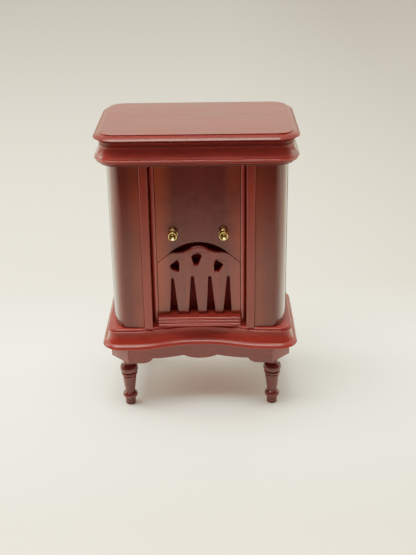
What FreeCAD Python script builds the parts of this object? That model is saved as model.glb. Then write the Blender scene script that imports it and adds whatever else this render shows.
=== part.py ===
import FreeCAD, Part
import math
import os

# Console radio at one-twelfth scale: a lacquered mahogany cabinet on four turned legs.
# Millimetres.  +Z up, the front faces -Y, and the origin is on the floor at the
# centre of the bounding box.

V = FreeCAD.Vector

# ---------------------------------------------------------------- driving dimensions
TOP_WIDTH = 57.15          # 2 1/4 in across the top panel
BASE_WIDTH = 58.2          # the plinth's lip stands a little wider than the top
DEPTH = 41.5               # front of the plinth's lip to the back of the plinth
HEIGHT = 86.2
BODY_WIDTH = 52.0          # outside of one side panel to the outside of the other
BODY_FRONT = -17.8         # face of the quarter columns
BODY_BACK = 18.2
LEDGE_Z = 27.6             # top of the plinth, which the body stands on
BODY_TOP = 77.4
PLINTH_BOTTOM = 21.3
APRON_BOTTOM = 15.25

PANEL = 1.6                # 1/16 in sheet for the sides, the back and the backing board
FRET = 3.0                 # 1/8 in sheet for the front panel and the fret

# ---------------------------------------------------------------- plan of the front
FRET_FACE = -14.25         # front panel and fret lie in one plane, set back
FRET_BACK = FRET_FACE + FRET
BACKING_BACK = FRET_BACK + PANEL
OPENING_HALF = 12.15       # half-width of the front panel, the fret and the sill
BEAD_STRIP = (12.25, 13.25)
BEAD_STRIP_PROUD = 0.35
BEAD_SHOULDER = 0.25       # straight part of the bead before its round
BEAD_EDGE = 13.7           # a groove falls away from the bead to the pilaster
BEAD_FLOOR = 0.45
PILASTER = (13.75, 16.16)
PILASTER_FACE = -18.55
COLUMN_INNER = 16.2
COLUMN_OUTER = 25.7        # the side panel stands 0.3 proud of it
COLUMN_CORNER = (4.4, 9.9)  # half-axes of the elliptical corner, across and back
COLUMN_ARRIS = 0.12
SILL_FACE = -17.3
SILL_TOP = 30.3
REED_DEPTH = 0.35
REED_STEP = 0.25           # each reed stands this far out from the one above it

# ---------------------------------------------------------------- arch and fret
ARCH_RADIUS = 12.4
ARCH_TOP = 53.25
ARCH_HALF = 9.0            # the round part ends here, and runs straight to the panel's edge
ARCH_SPRING = 46.75        # height of the arch at the panel's edge
FRET_SLACK = 0.05
# one hand-sawn slot each: centre and width at its top, centre and width at its foot, height
SLOTS = ((-7.75, 0.8, -7.5, 2.55, 41.6), (-1.9, 0.9, -1.8, 2.85, 42.2),
         (3.15, 0.85, 3.45, 2.7, 42.2), (8.6, 0.8, 8.25, 2.5, 42.15))
FINGER_ROUND = 0.45
FAN_HOLES = (((-2.2, 49.0), (-0.2, 49.8), (0.95, 49.1), (-0.25, 45.9), (-1.4, 45.9)),
             ((-8.45, 46.0), (-6.3, 47.75), (-5.65, 46.9), (-5.8, 43.75), (-8.1, 44.85)),
             ((4.9, 47.8), (7.15, 46.15), (5.75, 43.85), (4.55, 43.85), (4.4, 46.0)))

# ---------------------------------------------------------------- plinth and aprons
SERPENTINE = 3.5           # how far the plinth's front is hollowed at its middle
SERPENTINE_END = 20.0      # the hollow runs in from here
SERPENTINE_TURN = 11.4     # the curve changes side here
BASE_CORNER = 5.4
TOP_CORNER = 6.65
APRON_INSET = 3.5          # front and back aprons, behind the lip
APRON_SIDE = 27.2          # outer face of the side aprons
APRON_THICK = 1.9
CANT_START = 21.5          # the canted corners begin here
BLOCK_DEPTH = 8.2
BLOCK_INNER = 17.6

# ---------------------------------------------------------------- legs and knobs
LEG_X = 21.85
LEG_Y = 14.05
TENON_RADIUS = 1.2
TENON_LENGTH = 4.0
KNOB_X = 7.3
KNOB_Z = 56.0
SHANK_RADIUS = 0.5
SHANK_SLACK = 0.05         # running clearance round the shank
KNOB_GAP = 0.1             # air between the knob's flange and the panel
KNOB_DISH = 1.75           # from the panel to the bottom of the dish in the knob's face

HALF_BODY = BODY_WIDTH / 2
FRONT = -DEPTH / 2
BACK = DEPTH / 2


# ---------------------------------------------------------------- helpers
def box(x, y, z):
    """Box between pairs of coordinates."""
    return Part.makeBox(x[1] - x[0], y[1] - y[0], z[1] - z[0], V(x[0], y[0], z[0]))


def line(a, b):
    return Part.LineSegment(V(*a), V(*b)).toShape()


def arc(a, mid, b):
    return Part.Arc(V(*a), V(*mid), V(*b)).toShape()


def prism(edges, direction):
    """Closed planar outline pushed along a direction."""
    return Part.Face(Part.Wire(edges)).extrude(V(*direction))


def turned(profile, axis_point, axis):
    """Solid of revolution from a closed outline of edges."""
    return Part.Face(Part.Wire(profile)).revolve(V(*axis_point), V(*axis), 360)


def mirrored(shape):
    """The same piece on the other side of the cabinet."""
    return shape.mirror(V(0, 0, 0), V(1, 0, 0))


def joined(shapes):
    return shapes[0].fuse(shapes[1:]).removeSplitter()


def edges_along(shape, axis, test):
    """Straight edges along one axis whose middle passes a test."""
    found = []
    for edge in shape.Edges:
        if not isinstance(edge.Curve, Part.Line):
            continue
        if abs(abs(edge.tangentAt(edge.FirstParameter).dot(axis)) - 1) > 1e-6:
            continue
        if test(edge.CenterOfMass):
            found.append(edge)
    return found


# ---------------------------------------------------------------- plan outlines
def corner(cx, cy, radius, start):
    """Quarter circle, anticlockwise from a start angle in degrees."""
    turn = [math.radians(start + step) for step in (0, 45, 90)]
    ends = [(cx + radius * math.cos(a), cy + radius * math.sin(a), 0) for a in turn]
    return arc(*ends)


def serpentine(inset):
    """Front of the plinth from left to right: two S-curves about a hollow middle."""
    half_turn = math.atan2(SERPENTINE, SERPENTINE_END)
    turn = 2 * half_turn
    concave = SERPENTINE_TURN / math.sin(turn) + inset
    convex = (SERPENTINE_END - SERPENTINE_TURN) / math.sin(turn) - inset
    front = FRONT + inset
    hollow = front + SERPENTINE

    def on_concave(angle):
        return (concave * math.sin(angle), hollow - concave * (1 - math.cos(angle)), 0)

    def on_convex(side, angle):
        return (side * (SERPENTINE_END - convex * math.sin(angle)),
                front + convex * (1 - math.cos(angle)), 0)

    return [arc(on_convex(-1, 0), on_convex(-1, half_turn), on_convex(-1, turn)),
            arc(on_concave(-turn), on_concave(0), on_concave(turn)),
            arc(on_convex(1, turn), on_convex(1, half_turn), on_convex(1, 0))]


def base_outline(inset):
    """Plan of the plinth, seen from above, anticlockwise from the front left."""
    half = BASE_WIDTH / 2 - inset
    front = FRONT + inset
    back = BACK - inset
    radius = BASE_CORNER - inset
    cx = half - radius
    edges = serpentine(inset)
    edges = [line((-cx, front, 0), (-SERPENTINE_END, front, 0))] + edges
    edges.append(line((SERPENTINE_END, front, 0), (cx, front, 0)))
    edges.append(corner(cx, front + radius, radius, 270))
    edges.append(line((half, front + radius, 0), (half, back - radius, 0)))
    edges.append(corner(cx, back - radius, radius, 0))
    edges.append(line((cx, back, 0), (-cx, back, 0)))
    edges.append(corner(-cx, back - radius, radius, 90))
    edges.append(line((-half, back - radius, 0), (-half, front + radius, 0)))
    edges.append(corner(-cx, front + radius, radius, 180))
    return Part.Wire(edges)


def top_outline(inset):
    """Plan of the top: a rectangle with four round corners."""
    half = TOP_WIDTH / 2 - inset
    front = FRONT + 0.15 + inset
    back = BACK - inset
    radius = TOP_CORNER - inset
    cx = half - radius
    edges = [line((-cx, front, 0), (cx, front, 0)),
             corner(cx, front + radius, radius, 270),
             line((half, front + radius, 0), (half, back - radius, 0)),
             corner(cx, back - radius, radius, 0),
             line((cx, back, 0), (-cx, back, 0)),
             corner(-cx, back - radius, radius, 90),
             line((-half, back - radius, 0), (-half, front + radius, 0)),
             corner(-cx, front + radius, radius, 180)]
    return Part.Wire(edges)


CORE = 3.2                 # a moulded edge reaches this far in, and a flat core fills the rest


def moulded_board(outline, profile, bottom, top):
    """Board whose edge follows a profile of (inset, z) runs round a plan outline.

    A run is a list of two points for a line or three for an arc.  The profile goes
    from the top face, round the edge, to the bottom face.
    """
    path = outline(0)
    start = path.OrderedVertexes[0].Point
    inward = V(0, 1, 0)

    def place(point):
        return start + inward * point[0] + V(0, 0, point[1])

    edges = []
    for run in profile:
        points = [place(p) for p in run]
        if len(points) == 2:
            edges.append(Part.LineSegment(*points).toShape())
        else:
            edges.append(Part.Arc(*points).toShape())
    first = profile[0][0]
    last = profile[-1][-1]
    edges.append(Part.LineSegment(place(last), place((CORE, bottom))).toShape())
    edges.append(Part.LineSegment(place((CORE, bottom)), place((CORE, top))).toShape())
    edges.append(Part.LineSegment(place((CORE, top)), place(first)).toShape())
    rim = path.makePipeShell([Part.Wire(edges)], True, False)
    core = Part.Face(outline(CORE)).extrude(V(0, 0, top - bottom))
    core.translate(V(0, 0, bottom))
    return joined([rim, core])


# ---------------------------------------------------------------- top
TOP_BOTTOM = 83.0
CORNICE_BOTTOM = 78.2
FIELD_EDGE = 1.93          # the raised field stops short of the edge
FIELD_EASE = 0.12


def top_panel():
    """Slab with a raised field, an edge that rolls over to a small nose, and a neck."""
    profile = [[(FIELD_EDGE + FIELD_EASE, HEIGHT), (FIELD_EDGE, HEIGHT - FIELD_EASE)],
               [(FIELD_EDGE, HEIGHT - FIELD_EASE), (FIELD_EDGE - 0.01, 85.85)],
               [(FIELD_EDGE - 0.01, 85.85), (1.75, 85.78)],
               [(1.75, 85.78), (0.85, 85.5), (0.12, 85.0)],
               [(0.12, 85.0), (0, 84.85), (0.12, 84.7)],
               [(0.12, 84.7), (1.3, 84.6)],
               [(1.3, 84.6), (1.3, 84.2)],
               [(1.3, 84.2), (1.1, 84.05), (1.3, 83.9)],
               [(1.3, 83.9), (1.65, 83.85)],
               [(1.65, 83.85), (1.65, TOP_BOTTOM)]]
    return moulded_board(top_outline, profile, TOP_BOTTOM, HEIGHT)


def cornice_moulding():
    """Board under the top: a cove that sweeps out to a small lip above a fillet."""
    profile = [[(1.65, TOP_BOTTOM), (1.5, 82.85)],
               [(1.5, 82.85), (1.25, 81.1), (0.5, 79.65)],
               [(0.5, 79.65), (0.42, 79.4)],
               [(0.42, 79.4), (0.06, 79.2), (0.15, 78.95)],
               [(0.15, 78.95), (0.45, 78.85)],
               [(0.45, 78.85), (0.45, 78.3)],
               [(0.45, 78.3), (0.6, CORNICE_BOTTOM)]]
    return moulded_board(top_outline, profile, CORNICE_BOTTOM, TOP_BOTTOM)


def frieze_board():
    """Thin board that closes the body, its edge showing as a fillet below the lip."""
    face = Part.Face(top_outline(1.55))
    board = face.extrude(V(0, 0, CORNICE_BOTTOM - BODY_TOP))
    board.translate(V(0, 0, BODY_TOP))
    return board


# ---------------------------------------------------------------- body
def side_panel():
    y = (BODY_FRONT + COLUMN_CORNER[1], BODY_BACK)
    panel = box((HALF_BODY - PANEL, HALF_BODY), y, (LEDGE_Z, BODY_TOP))
    outer = edges_along(panel, V(0, 0, 1), lambda p: p.x > HALF_BODY - 0.1)
    return panel.makeFillet(0.2, outer)


def back_panel():
    x = HALF_BODY - PANEL
    return box((-x, x), (BODY_BACK - PANEL, BODY_BACK), (LEDGE_Z, BODY_TOP))


def corner_strip():
    """Square strip that a side panel and the back panel are glued to."""
    size = 3.2
    x = HALF_BODY - PANEL
    y = BODY_BACK - PANEL
    return box((x - size, x), (y - size, y), (LEDGE_Z, BODY_TOP))


def quarter_column():
    """Corner post with a flat face that rolls back to the side panel."""
    across, back = COLUMN_CORNER
    cx = COLUMN_OUTER - across
    cy = BODY_FRONT + back
    z = LEDGE_Z
    ellipse = Part.Ellipse(V(cx, BODY_FRONT, z), V(COLUMN_OUTER, cy, z), V(cx, cy, z))
    roll = Part.Edge(Part.ArcOfEllipse(ellipse, 0, math.pi / 2))
    edges = [line((COLUMN_INNER, BODY_FRONT, z), (cx, BODY_FRONT, z)),
             roll,
             line((COLUMN_OUTER, cy, z), (COLUMN_INNER, cy, z)),
             line((COLUMN_INNER, cy, z), (COLUMN_INNER, BODY_FRONT, z))]
    post = prism(edges, (0, 0, BODY_TOP - LEDGE_Z))
    arris = edges_along(post, V(0, 0, 1), lambda p: p.y < BODY_FRONT + 0.1 and p.x < cx - 1)
    return post.makeFillet(COLUMN_ARRIS, arris)


def pilaster():
    strip = box(PILASTER, (PILASTER_FACE, FRET_BACK), (LEDGE_Z, BODY_TOP))
    arrises = edges_along(strip, V(0, 0, 1), lambda p: p.y < PILASTER_FACE + 0.1)
    return strip.makeFillet(0.3, arrises)


def bead_strip():
    """Bead that covers the joint beside the front panel, with a groove outside it."""
    x0, x1 = BEAD_STRIP
    x2 = BEAD_EDGE
    middle = (x0 + x1) / 2
    nose = FRET_FACE - BEAD_STRIP_PROUD
    shoulder = FRET_FACE - BEAD_SHOULDER
    floor = FRET_FACE + BEAD_FLOOR
    z = LEDGE_Z
    edges = [arc((x0, shoulder, z), (middle, nose, z), (x1, shoulder, z)),
             line((x1, shoulder, z), (x1, FRET_FACE, z)),
             line((x1, FRET_FACE, z), (x2, floor, z)),
             line((x2, floor, z), (x2, FRET_BACK, z)),
             line((x2, FRET_BACK, z), (x0, FRET_BACK, z)),
             line((x0, FRET_BACK, z), (x0, shoulder, z))]
    return prism(edges, (0, 0, BODY_TOP - LEDGE_Z))


def shank_hole(x, y0, y1):
    radius = SHANK_RADIUS + SHANK_SLACK
    return Part.makeCylinder(radius, y1 - y0, V(x, y0, KNOB_Z), V(0, 1, 0))


def backing_board():
    """Board behind the fret, which also carries the front panel and the pilasters."""
    board = box((-COLUMN_INNER, COLUMN_INNER), (FRET_BACK, BACKING_BACK), (LEDGE_Z, BODY_TOP))
    for x in (-KNOB_X, KNOB_X):
        board = board.cut(shank_hole(x, FRET_BACK - 1, BACKING_BACK + 1))
    return board


def arch_height(x, radius):
    return ARCH_TOP - ARCH_RADIUS + math.sqrt(radius ** 2 - x ** 2)


def front_panel():
    """Upper board of the front, with the arch in its foot and two knob holes."""
    y = FRET_FACE
    side = OPENING_HALF
    turn_z = arch_height(ARCH_HALF, ARCH_RADIUS)
    edges = [line((-side, y, BODY_TOP), (side, y, BODY_TOP)),
             line((side, y, BODY_TOP), (side, y, ARCH_SPRING)),
             line((side, y, ARCH_SPRING), (ARCH_HALF, y, turn_z)),
             arc((ARCH_HALF, y, turn_z), (0, y, ARCH_TOP), (-ARCH_HALF, y, turn_z)),
             line((-ARCH_HALF, y, turn_z), (-side, y, ARCH_SPRING)),
             line((-side, y, ARCH_SPRING), (-side, y, BODY_TOP))]
    panel = prism(edges, (0, FRET, 0))
    for x in (-KNOB_X, KNOB_X):
        panel = panel.cut(shank_hole(x, FRET_FACE - 1, FRET_BACK + 1))
    rims = [edge for edge in panel.Edges
            if isinstance(edge.Curve, Part.Circle) and edge.Curve.Radius > 5
            and edge.CenterOfMass.y < FRET_FACE + 0.1]
    return panel.makeFillet(0.15, rims)


def fret_top_edge(y):
    """Top of the fret from right to left: low shoulders either side of a raised middle."""
    turn_z = arch_height(ARCH_HALF, ARCH_RADIUS - FRET_SLACK)
    half = [(ARCH_HALF, y, turn_z), (8.0, y, 49.8), (6.6, y, 49.95), (4.7, y, 50.05),
            (3.0, y, 50.7)]
    other = [(-x, y, z) for x, y, z in half]
    peak = (0, y, 51.9)
    return [arc(half[0], half[1], half[2]), arc(half[2], half[3], half[4]),
            arc(half[4], peak, other[4]),
            arc(other[4], other[3], other[2]), arc(other[2], other[1], other[0])]


def sawn_hole(points):
    """Prism through the fret, with its corners eased."""
    y0 = FRET_FACE - 1
    ring = [(x, y0, z) for x, z in points]
    edges = [line(a, b) for a, b in zip(ring, ring[1:] + ring[:1])]
    hole = prism(edges, (0, FRET + 2, 0))
    return hole.makeFillet(0.3, edges_along(hole, V(0, 1, 0), lambda p: True))


def sawn_slot(slot):
    top_x, top_width, foot_x, foot_width, top_z = slot
    y0 = FRET_FACE - 1
    below = SILL_TOP - 1
    a, b = top_width / 2, foot_width / 2
    crown = (top_x, y0, top_z + 0.35)
    edges = [arc((top_x - a, y0, top_z), crown, (top_x + a, y0, top_z)),
             line((top_x + a, y0, top_z), (foot_x + b, y0, SILL_TOP)),
             line((foot_x + b, y0, SILL_TOP), (foot_x + b, y0, below)),
             line((foot_x + b, y0, below), (foot_x - b, y0, below)),
             line((foot_x - b, y0, below), (foot_x - b, y0, SILL_TOP)),
             line((foot_x - b, y0, SILL_TOP), (top_x - a, y0, top_z))]
    return prism(edges, (0, FRET + 2, 0))


def grille_fret():
    """Comb-shaped fretwork: four tapering slots below a fan of three holes."""
    y = FRET_FACE
    side = OPENING_HALF
    spring = ARCH_SPRING - FRET_SLACK
    turn_z = arch_height(ARCH_HALF, ARCH_RADIUS - FRET_SLACK)
    edges = [line((-side, y, SILL_TOP), (side, y, SILL_TOP)),
             line((side, y, SILL_TOP), (side, y, spring)),
             line((side, y, spring), (ARCH_HALF, y, turn_z))]
    edges += fret_top_edge(y)
    edges += [line((-ARCH_HALF, y, turn_z), (-side, y, spring)),
              line((-side, y, spring), (-side, y, SILL_TOP))]
    fret = prism(edges, (0, FRET, 0))
    for slot in SLOTS:
        fret = fret.cut(sawn_slot(slot))
    for points in FAN_HOLES:
        fret = fret.cut(sawn_hole(points))

    def finger_tip(p):
        return abs(p.z - SILL_TOP) < 0.01 and abs(p.x) < side - 0.1

    return fret.makeFillet(FINGER_ROUND, edges_along(fret, V(0, 1, 0), finger_tip))


def sill_moulding():
    """Strip under the fret, its face worked into three reeds."""
    reeds = 3
    x = -OPENING_HALF
    rise = (SILL_TOP - LEDGE_Z) / reeds
    edges = []
    start = (x, SILL_FACE + REED_DEPTH, LEDGE_Z)
    foot = start
    for i in range(reeds):
        face = SILL_FACE + i * REED_STEP
        root = face + REED_DEPTH
        z0 = LEDGE_Z + i * rise
        if i:
            edges.append(line(foot, (x, root, z0)))
        foot = (x, root, z0 + rise)
        edges.append(arc((x, root, z0), (x, face, z0 + rise / 2), foot))
    edges += [line(foot, (x, FRET_BACK, SILL_TOP)),
              line((x, FRET_BACK, SILL_TOP), (x, FRET_BACK, LEDGE_Z)),
              line((x, FRET_BACK, LEDGE_Z), start)]
    return prism(edges, (2 * OPENING_HALF, 0, 0))


# ---------------------------------------------------------------- base
def plinth_board():
    """Serpentine board: a rounded ledge, a bead, a tall cove and a sloping lip."""
    profile = [[(2.3, LEDGE_Z), (1.92, 27.42), (1.8, 27.15)],
               [(1.8, 27.15), (2.1, 26.95)],
               [(2.1, 26.95), (1.76, 26.72)],
               [(1.76, 26.72), (1.68, 26.55), (1.8, 26.35)],
               [(1.8, 26.35), (2.1, 26.15)],
               [(2.1, 26.15), (1.75, 24.4), (1.2, 23.05)],
               [(1.2, 23.05), (1.12, 22.95)],
               [(1.12, 22.95), (0.58, 22.65), (0.08, 22.05)],
               [(0.08, 22.05), (0, 21.9), (0.08, 21.75)],
               [(0.08, 21.75), (0.7, 21.6)],
               [(0.7, 21.6), (0.7, PLINTH_BOTTOM)]]
    return moulded_board(base_outline, profile, PLINTH_BOTTOM, LEDGE_Z)


def front_apron():
    """Serpentine rail with a shaped lower edge."""
    z0 = APRON_BOTTOM - 1
    height = PLINTH_BOTTOM - z0
    outer = serpentine(APRON_INSET)
    inner = serpentine(APRON_INSET + APRON_THICK)
    front = FRONT + APRON_INSET
    back = front + APRON_THICK
    end = CANT_START
    edges = [line((-end, front, 0), (-SERPENTINE_END, front, 0))] + outer
    edges += [line((SERPENTINE_END, front, 0), (end, front, 0)),
              line((end, front, 0), (end, back, 0)),
              line((end, back, 0), (SERPENTINE_END, back, 0))]
    edges += inner[::-1]
    edges += [line((-SERPENTINE_END, back, 0), (-end, back, 0)),
              line((-end, back, 0), (-end, front, 0))]
    rail = Part.Face(Part.Wire(Part.__sortEdges__(edges))).extrude(V(0, 0, height))
    rail.translate(V(0, 0, z0))
    return rail.cut(apron_shaping(end))


def apron_shaping(end):
    """What is sawn away below a front or back apron: a lobe, two flats, two steps."""
    y = FRONT - 1
    low = APRON_BOTTOM - 2
    notch, notch_z = 5.1, 16.35
    flat, flat_z = 14.3, 16.55
    foot = 16.6
    edge = [arc((-foot, y, APRON_BOTTOM), (-15.1, y, 15.75), (-flat, y, flat_z)),
            arc((-flat, y, flat_z), (-9.8, y, 16.1), (-notch, y, notch_z)),
            arc((-notch, y, notch_z), (0, y, 15.1), (notch, y, notch_z)),
            arc((notch, y, notch_z), (9.8, y, 16.1), (flat, y, flat_z)),
            arc((flat, y, flat_z), (15.1, y, 15.75), (foot, y, APRON_BOTTOM))]
    edge += [line((foot, y, APRON_BOTTOM), (end + 1, y, APRON_BOTTOM)),
             line((end + 1, y, APRON_BOTTOM), (end + 1, y, low)),
             line((end + 1, y, low), (-end - 1, y, low)),
             line((-end - 1, y, low), (-end - 1, y, APRON_BOTTOM)),
             line((-end - 1, y, APRON_BOTTOM), (-foot, y, APRON_BOTTOM))]
    return prism(edge, (0, DEPTH + 2, 0))


def back_apron():
    back = BACK - APRON_INSET
    rail = box((-CANT_START, CANT_START), (back - APRON_THICK, back),
               (APRON_BOTTOM - 1, PLINTH_BOTTOM))
    return rail.cut(apron_shaping(CANT_START))


def side_apron():
    """Rail between the corner blocks, its lower edge raised in one long curve."""
    end = -FRONT - APRON_INSET - BLOCK_DEPTH
    x = APRON_SIDE
    rise = 1.3
    edges = [line((x, -end, APRON_BOTTOM), (x, -end, PLINTH_BOTTOM)),
             line((x, -end, PLINTH_BOTTOM), (x, end, PLINTH_BOTTOM)),
             line((x, end, PLINTH_BOTTOM), (x, end, APRON_BOTTOM)),
             arc((x, end, APRON_BOTTOM), (x, 0, APRON_BOTTOM + rise), (x, -end, APRON_BOTTOM))]
    return prism(edges, (-APRON_THICK, 0, 0))


def leg_block(apron):
    """Canted corner block at the front right, bored for the leg and notched for the apron."""
    front = FRONT + APRON_INSET
    cant = APRON_SIDE - CANT_START
    back = front + BLOCK_DEPTH
    z = APRON_BOTTOM
    ring = [(BLOCK_INNER, front, z), (CANT_START, front, z), (APRON_SIDE, front + cant, z),
            (APRON_SIDE, back, z), (BLOCK_INNER, back, z)]
    edges = [line(a, b) for a, b in zip(ring, ring[1:] + ring[:1])]
    block = prism(edges, (0, 0, PLINTH_BOTTOM - z))
    block = block.cut(apron)
    socket = Part.makeCylinder(TENON_RADIUS, TENON_LENGTH, V(LEG_X, -LEG_Y, z))
    block = block.cut(socket)
    return max(block.Solids, key=lambda solid: solid.Volume)


# The leg from the floor up: each run is a line of two (radius, z) points or an arc of three.
LEG_PROFILE = (((1.4, 0), (1.55, 0.15)),
               ((1.55, 0.15), (1.62, 2.2)),
               ((1.62, 2.2), (1.9, 2.35)),
               ((1.9, 2.35), (2.3, 3.25), (1.85, 4.2)),
               ((1.85, 4.2), (1.58, 4.45)),
               ((1.58, 4.45), (1.6, 5.2), (1.7, 6.0)),
               ((1.7, 6.0), (2.2, 9.9)),
               ((2.2, 9.9), (2.02, 10.05)),
               ((2.02, 10.05), (2.02, 10.25)),
               ((2.02, 10.25), (2.4, 10.4)),
               ((2.4, 10.4), (2.52, 10.75), (2.4, 11.1)),
               ((2.4, 11.1), (2.15, 11.2)),
               ((2.15, 11.2), (2.15, 11.4)),
               ((2.15, 11.4), (2.55, 11.5)),
               ((2.55, 11.5), (2.78, 12.5), (2.35, 13.6)),
               ((2.35, 13.6), (1.85, 13.9)),
               ((1.85, 13.9), (1.7, 14.5), (2.0, APRON_BOTTOM)))


def leg():
    """Turned leg with a tenon at its top, on its own axis."""
    edges = []
    for run in LEG_PROFILE:
        points = [(radius, 0, z) for radius, z in run]
        edges.append(line(*points) if len(points) == 2 else arc(*points))
    top = APRON_BOTTOM
    end = APRON_BOTTOM + TENON_LENGTH
    foot = LEG_PROFILE[0][0][0]
    edges += [line((LEG_PROFILE[-1][-1][0], 0, top), (TENON_RADIUS, 0, top)),
              line((TENON_RADIUS, 0, top), (TENON_RADIUS, 0, end)),
              line((TENON_RADIUS, 0, end), (0, 0, end)),
              line((0, 0, end), (0, 0, 0)),
              line((0, 0, 0), (foot, 0, 0))]
    return turned(edges, (0, 0, 0), (0, 0, 1))


# ---------------------------------------------------------------- knobs
# Radius and distance out from the panel, from the shank's shoulder to the face.
KNOB_PROFILE = (((SHANK_RADIUS, KNOB_GAP), (1.3, KNOB_GAP)),
                ((1.3, KNOB_GAP), (1.48, 0.35), (1.35, 0.6)),
                ((1.35, 0.6), (1.1, 0.72)),
                ((1.1, 0.72), (1.02, 0.9), (1.12, 1.1)),
                ((1.12, 1.1), (1.42, 1.9), (1.3, 2.65)),
                ((1.3, 2.65), (1.17, 2.8), (1.0, 2.7)),
                ((1.0, 2.7), (0.25, 1.82)),
                ((0.25, 1.82), (0, KNOB_DISH)))


def knob():
    """Turned brass knob with a plain shank, on the Y axis, facing -Y."""
    edges = []
    for run in KNOB_PROFILE:
        points = [(radius, FRET_FACE - out, 0) for radius, out in run]
        edges.append(line(*points) if len(points) == 2 else arc(*points))
    tail = BACKING_BACK - 0.3
    shoulder = FRET_FACE - KNOB_GAP
    edges += [line((0, FRET_FACE - KNOB_DISH, 0), (0, tail, 0)),
              line((0, tail, 0), (SHANK_RADIUS, tail, 0)),
              line((SHANK_RADIUS, tail, 0), (SHANK_RADIUS, shoulder, 0))]
    return turned(edges, (0, 0, 0), (0, 1, 0))


# ---------------------------------------------------------------- assembly
def moved(shape, x, y, z):
    copy = shape.copy()
    copy.translate(V(x, y, z))
    return copy


def model():
    """Every piece by its node name."""
    nodes = {"top_panel": top_panel(), "cornice_moulding": cornice_moulding(),
             "frieze_board": frieze_board(), "back_panel": back_panel(),
             "backing_board": backing_board(), "front_panel": front_panel(),
             "grille_fret": grille_fret(), "sill_moulding": sill_moulding(),
             "plinth_board": plinth_board(), "front_apron": front_apron(),
             "back_apron": back_apron()}
    pairs = {"side_panel": side_panel(), "corner_strip": corner_strip(),
             "quarter_column": quarter_column(), "pilaster": pilaster(),
             "bead_strip": bead_strip(), "side_apron": side_apron(),
             "leg_block_front": leg_block(nodes["front_apron"])}
    back_block = leg_block(nodes["back_apron"].mirror(V(0, 0, 0), V(0, 1, 0)))
    pairs["leg_block_back"] = back_block.mirror(V(0, 0, 0), V(0, 1, 0))
    for name, shape in pairs.items():
        nodes[name + "_right"] = shape
        nodes[name + "_left"] = mirrored(shape)
    leg_shape = leg()
    for end, y in (("front", -LEG_Y), ("back", LEG_Y)):
        for side, x in (("left", -LEG_X), ("right", LEG_X)):
            nodes["leg_" + end + "_" + side] = moved(leg_shape, x, y, 0)
    knob_shape = knob()
    nodes["volume_knob"] = moved(knob_shape, -KNOB_X, 0, KNOB_Z)
    nodes["tuning_knob"] = moved(knob_shape, KNOB_X, 0, KNOB_Z)
    return nodes


def main():
    os.makedirs("parts", exist_ok=True)
    for name, shape in model().items():
        if not shape.isValid() or len(shape.Solids) != 1:
            raise ValueError(name + " is not one valid solid")
        shape.exportStep("parts/" + name + ".step")
        size = shape.BoundBox
        print(name, round(size.XLength, 2), round(size.YLength, 2), round(size.ZLength, 2),
              "volume", round(shape.Volume, 1))


main()
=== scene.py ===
import math
import bmesh
import bpy
from mathutils import Matrix, Vector, noise


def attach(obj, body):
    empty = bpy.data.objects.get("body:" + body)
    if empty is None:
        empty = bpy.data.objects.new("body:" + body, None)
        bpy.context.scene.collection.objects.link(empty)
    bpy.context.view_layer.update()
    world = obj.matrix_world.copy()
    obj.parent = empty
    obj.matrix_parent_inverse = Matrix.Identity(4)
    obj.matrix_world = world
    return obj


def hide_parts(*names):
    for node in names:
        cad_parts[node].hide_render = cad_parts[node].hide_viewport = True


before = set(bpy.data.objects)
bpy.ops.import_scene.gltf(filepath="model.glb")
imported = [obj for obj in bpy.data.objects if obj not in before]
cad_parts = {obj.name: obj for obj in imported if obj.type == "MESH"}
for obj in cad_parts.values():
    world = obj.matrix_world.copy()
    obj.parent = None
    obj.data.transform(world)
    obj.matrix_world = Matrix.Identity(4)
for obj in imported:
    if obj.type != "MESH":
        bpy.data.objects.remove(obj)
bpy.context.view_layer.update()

MM = 0.001

# ------------------------------------------------------------------ dimensions, in millimetres
TOP_WIDTH = 57.15
BASE_WIDTH = 58.2
HALF_DEPTH = 20.75
TOP_FRONT = 0.15 - HALF_DEPTH
HALF_BODY = 26.0
BODY_FRONT = -17.8
BODY_BACK = 18.2
LEDGE_Z = 27.6
BODY_TOP = 77.4
PLINTH_BOTTOM = 21.3
APRON_BOTTOM = 15.25
PANEL = 1.6  # thickness of the thin boards
FRET = 3.0  # thickness of the fret and the front panel
FRET_FACE = -14.25
FRET_BACK = FRET_FACE + FRET
OPENING_HALF = 12.15
BEAD_STRIP = (12.25, 13.25)  # left and right of the rounded part
BEAD_STRIP_PROUD = 0.35
BEAD_SHOULDER = 0.25
BEAD_EDGE = 13.7
BEAD_FLOOR = 0.45
PILASTER = (13.75, 16.16)
PILASTER_FACE = -18.55
COLUMN_INNER = 16.2
COLUMN_OUTER = 25.7
COLUMN_CORNER = (4.4, 9.9)
SILL_FACE = -17.3
SILL_TOP = 30.3
REED_DEPTH = 0.35
REED_STEP = 0.25
ARCH_RADIUS = 12.4
ARCH_TOP = 53.25
ARCH_HALF = 9.0
ARCH_SPRING = 46.75
FRET_SLACK = 0.05
# Right half of the fret's wavy top: the shoulder's points, then the peak's height.
FRET_SHOULDER = ((8.0, 49.8), (6.6, 49.95), (4.7, 50.05), (3.0, 50.7))
FRET_PEAK = 51.9
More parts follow.
